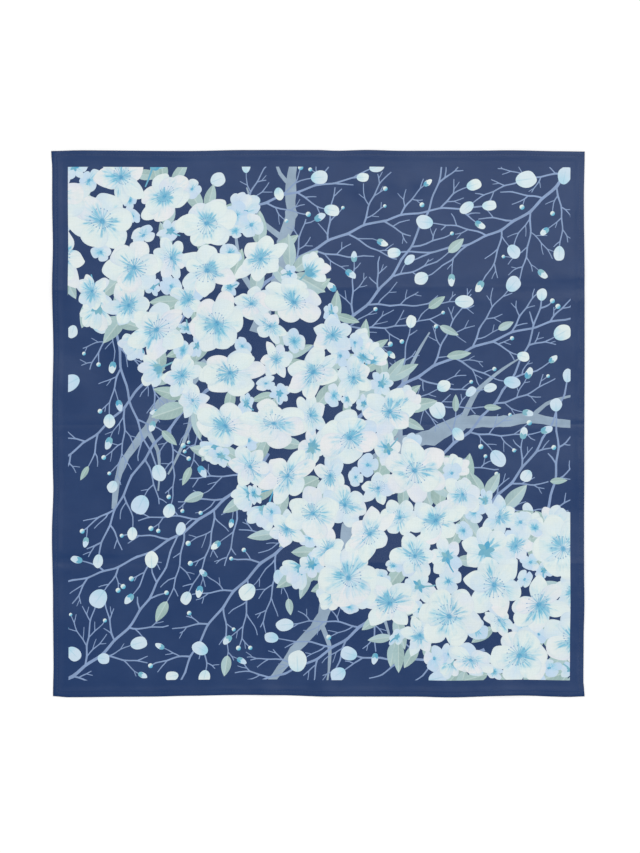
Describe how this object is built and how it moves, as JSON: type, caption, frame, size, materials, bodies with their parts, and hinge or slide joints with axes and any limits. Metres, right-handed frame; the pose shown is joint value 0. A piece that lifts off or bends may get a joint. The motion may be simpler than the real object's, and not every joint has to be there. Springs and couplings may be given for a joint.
{
  "type": "bandana laid out flat",
  "caption": "Square printed cotton bandana laid out flat: one thin sheet with a narrow turned hem, slightly uneven edges and soft pressed fold lines.",
  "frame": {"origin": "centre of the bounding box on the ground that the cloth lies on", "axes": "+X right and +Y up across the printed face, +Z out of it; the cloth is a little longer along Y"},
  "size_m": [0.5334, 0.5474, 0.0041],
  "materials": {
    "printed_cotton": "matt plain-weave cotton, navy ground with a printed pale floral field"
  },
  "bodies": {
    "root": {"bandana": "printed_cotton"}
  },
  "joints": []
}
